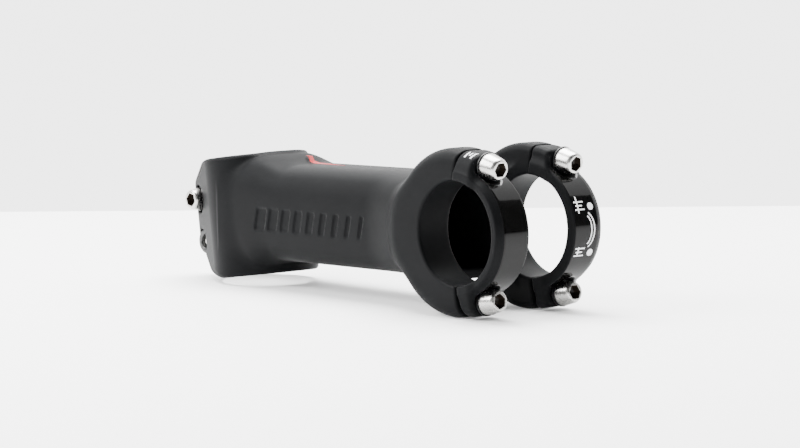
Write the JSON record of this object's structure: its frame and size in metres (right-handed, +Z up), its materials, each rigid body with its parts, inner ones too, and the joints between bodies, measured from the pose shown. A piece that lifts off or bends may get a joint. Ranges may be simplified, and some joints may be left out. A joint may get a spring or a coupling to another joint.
{
  "type": "handlebar stem",
  "caption": "Threadless bicycle stem: a split steerer clamp, a hollow extension and a forked bar clamp with separate face clamps, bolts and washers.",
  "frame": {"origin": "on the axis of the steerer bore, where the centreline of the extension meets it, 2.2 mm above the middle of the stack", "axes": "+X forward to the handlebar, +Y along the handlebar to the rider's left, +Z up; the stem lies level on its two ring bottoms and the heel of the steerer clamp"},
  "size_m": [0.1689, 0.0442, 0.0512],
  "materials": {
    "body": "bead-blasted, matte black anodised",
    "face_clamp": "matte black sides with a gloss black front band",
    "bolt": "polished stainless",
    "washer": "blackened steel",
    "nut": "plain steel"
  },
  "bodies": {
    "root": {"stem_body": "body", "pinch_nut_upper": "nut", "pinch_nut_lower": "nut"},
    "face_clamp_right": {"face_clamp_right": "face_clamp"},
    "clamp_washer_right_top": {"clamp_washer_right_top": "washer"},
    "clamp_bolt_right_top": {"clamp_bolt_right_top": "bolt"},
    "clamp_washer_right_bottom": {"clamp_washer_right_bottom": "washer"},
    "clamp_bolt_right_bottom": {"clamp_bolt_right_bottom": "bolt"},
    "face_clamp_left": {"face_clamp_left": "face_clamp"},
    "clamp_washer_left_top": {"clamp_washer_left_top": "washer"},
    "clamp_bolt_left_top": {"clamp_bolt_left_top": "bolt"},
    "clamp_washer_left_bottom": {"clamp_washer_left_bottom": "washer"},
    "clamp_bolt_left_bottom": {"clamp_bolt_left_bottom": "bolt"},
    "pinch_washer_upper": {"pinch_washer_upper": "washer"},
    "pinch_bolt_upper": {"pinch_bolt_upper": "bolt"},
    "pinch_washer_lower": {"pinch_washer_lower": "washer"},
    "pinch_bolt_lower": {"pinch_bolt_lower": "bolt"}
  },
  "joints": [
    {"name": "clamp_washer_right_top_lift", "type": "slide", "parent": "root", "child": "clamp_washer_right_top", "axis": [0.9855, 0, -0.1699], "range_m": [0, 0.0016]},
    {"name": "clamp_bolt_right_top_turn", "type": "hinge", "parent": "clamp_washer_right_top", "child": "clamp_bolt_right_top", "pos_m": [0.12362, -0.01575, 0.0228], "axis": [0.9855, 0, -0.1699], "range_deg": [0, 720.5]},
    {"name": "clamp_washer_right_bottom_lift", "type": "slide", "parent": "root", "child": "clamp_washer_right_bottom", "axis": [0.9897, 0, 0.1429], "range_m": [0, 0.0016]},
    {"name": "clamp_bolt_right_bottom_turn", "type": "hinge", "parent": "clamp_washer_right_bottom", "child": "clamp_bolt_right_bottom", "pos_m": [0.12305, -0.01575, -0.01947], "axis": [0.9897, 0, 0.1429], "range_deg": [0, 720.5]},
    {"name": "face_clamp_right_lift", "type": "slide", "parent": "root", "child": "face_clamp_right", "axis": [0.9999, 0, -0.0137], "range_m": [0, 0.00158]},
    {"name": "clamp_washer_left_top_lift", "type": "slide", "parent": "root", "child": "clamp_washer_left_top", "axis": [0.9855, 0, -0.1699], "range_m": [0, 0.0016]},
    {"name": "clamp_bolt_left_top_turn", "type": "hinge", "parent": "clamp_washer_left_top", "child": "clamp_bolt_left_top", "pos_m": [0.12362, 0.01575, 0.0228], "axis": [0.9855, 0, -0.1699], "range_deg": [0, 720.5]},
    {"name": "clamp_washer_left_bottom_lift", "type": "slide", "parent": "root", "child": "clamp_washer_left_bottom", "axis": [0.9897, 0, 0.1429], "range_m": [0, 0.0016]},
    {"name": "clamp_bolt_left_bottom_turn", "type": "hinge", "parent": "clamp_washer_left_bottom", "child": "clamp_bolt_left_bottom", "pos_m": [0.12305, 0.01575, -0.01947], "axis": [0.9897, 0, 0.1429], "range_deg": [0, 720.5]},
    {"name": "face_clamp_left_lift", "type": "slide", "parent": "root", "child": "face_clamp_left", "axis": [0.9999, 0, -0.0137], "range_m": [0, 0.00158]},
    {"name": "pinch_washer_upper_lift", "type": "slide", "parent": "root", "child": "pinch_washer_upper", "axis": [0, -1, 0], "range_m": [0, 0.004]},
    {"name": "pinch_bolt_upper_turn", "type": "hinge", "parent": "pinch_washer_upper", "child": "pinch_bolt_upper", "pos_m": [-0.02049, 0, 0.00223], "axis": [0, -1, 0], "range_deg": [0, 1800.5]},
    {"name": "pinch_washer_lower_lift", "type": "slide", "parent": "root", "child": "pinch_washer_lower", "axis": [0, 1, 0], "range_m": [0, 0.004]},
    {"name": "pinch_bolt_lower_turn", "type": "hinge", "parent": "pinch_washer_lower", "child": "pinch_bolt_lower", "pos_m": [-0.01854, 0, -0.01203], "axis": [0, 1, 0], "range_deg": [0, 1800.5]}
  ],
  "couplings": [
    {"joint": "clamp_washer_right_top_lift", "follows": "face_clamp_right_lift", "ratio": 1.0125},
    {"joint": "clamp_bolt_right_top_turn", "follows": "face_clamp_right_lift", "rad_per_m": 7951.9},
    {"joint": "clamp_washer_right_bottom_lift", "follows": "face_clamp_right_lift", "ratio": 1.0125},
    {"joint": "clamp_bolt_right_bottom_turn", "follows": "face_clamp_right_lift", "rad_per_m": 7951.9},
    {"joint": "clamp_washer_left_top_lift", "follows": "face_clamp_left_lift", "ratio": 1.0125},
    {"joint": "clamp_bolt_left_top_turn", "follows": "face_clamp_left_lift", "rad_per_m": 7951.9},
    {"joint": "clamp_washer_left_bottom_lift", "follows": "face_clamp_left_lift", "ratio": 1.0125},
    {"joint": "clamp_bolt_left_bottom_turn", "follows": "face_clamp_left_lift", "rad_per_m": 7951.9},
    {"joint": "pinch_bolt_upper_turn", "follows": "pinch_washer_upper_lift", "rad_per_m": 7854},
    {"joint": "pinch_bolt_lower_turn", "follows": "pinch_washer_lower_lift", "rad_per_m": 7854}
  ]
}
